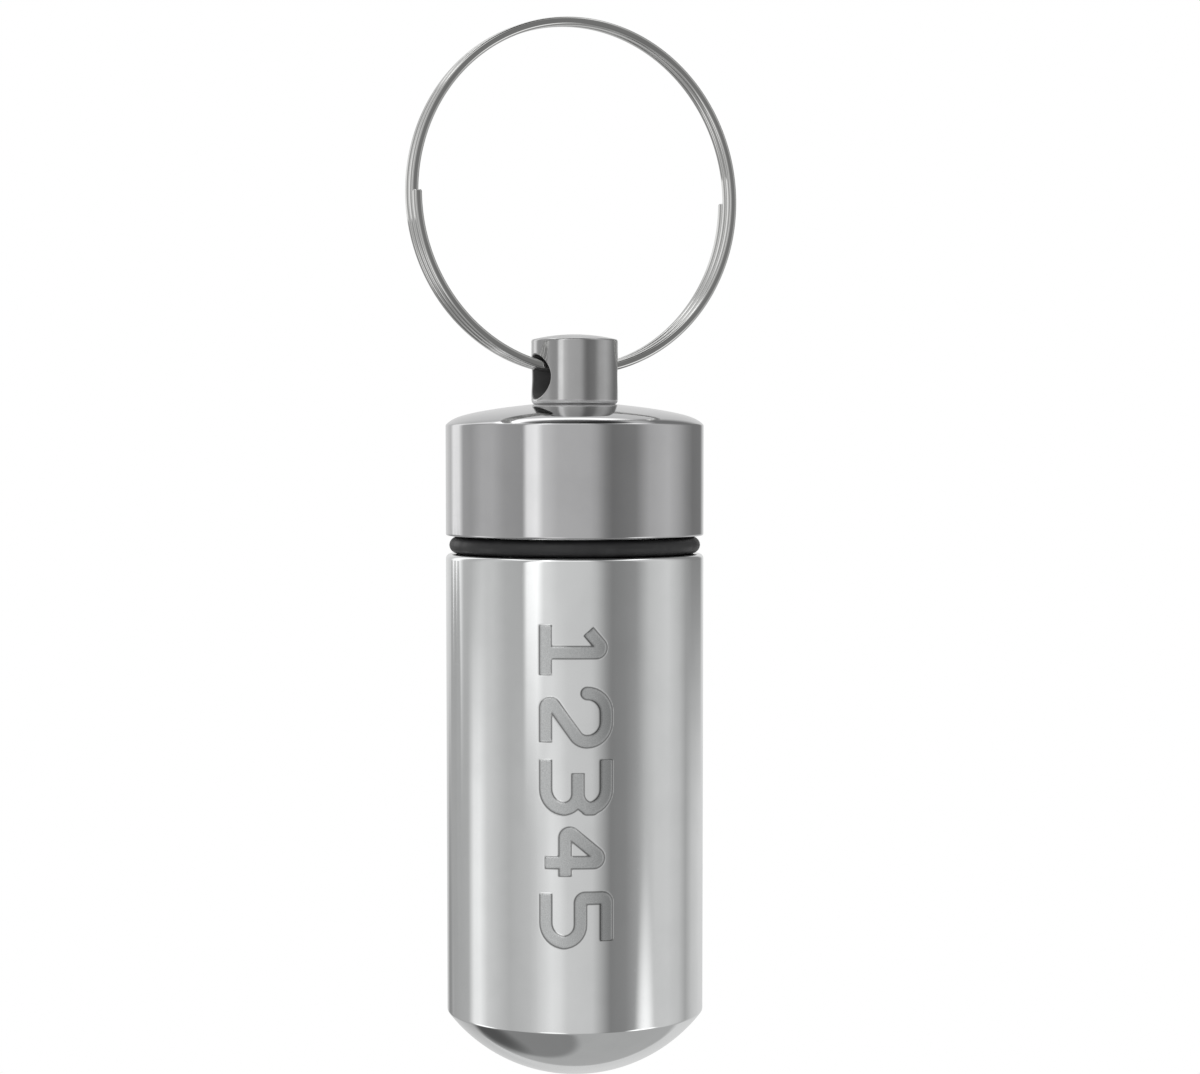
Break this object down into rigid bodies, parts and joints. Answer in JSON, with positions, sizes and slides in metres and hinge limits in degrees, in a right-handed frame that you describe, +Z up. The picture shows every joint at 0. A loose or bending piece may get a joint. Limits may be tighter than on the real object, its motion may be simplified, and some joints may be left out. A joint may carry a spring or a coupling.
{
  "type": "key-ring capsule",
  "caption": "Waterproof key-ring capsule: domed aluminium tube, screw cap with a drilled eyelet post, O-ring seal and a wire split ring.",
  "frame": {"origin": "inside top of the split ring, where a hook or a bunch of keys carries it", "axes": "+Z up along the capsule's axis, +X along the eyelet's cross hole, so the split ring lies in the XZ plane"},
  "size_m": [0.0232, 0.017, 0.0696],
  "materials": {
    "tube_aluminium": "polished, engraved digits matt",
    "cap_aluminium": "polished",
    "seal_rubber": "matt black",
    "ring_steel": "bright drawn wire"
  },
  "bodies": {
    "ring": {"split_ring": "ring_steel"},
    "cap": {"cap": "cap_aluminium", "eyelet_post": "cap_aluminium"},
    "seal": {"o_ring": "seal_rubber"},
    "tube": {"tube": "tube_aluminium"}
  },
  "joints": [
    {"name": "ring_fold", "type": "hinge", "parent": "ring", "child": "cap", "pos_m": [0, 0, -0.02284], "axis": [1, 0, 0], "range_deg": [-110, 110]},
    {"name": "screw_lift", "type": "slide", "parent": "cap", "child": "seal", "axis": [0, 0, -1], "range_m": [0, 0.00701]},
    {"name": "screw_turn", "type": "hinge", "parent": "seal", "child": "tube", "pos_m": [0, 0, -0.03324], "axis": [0, 0, -1], "range_deg": [0, 2520]}
  ],
  "couplings": [
    {"joint": "screw_lift", "follows": "screw_turn", "m_per_rad": 0.00015915}
  ]
}
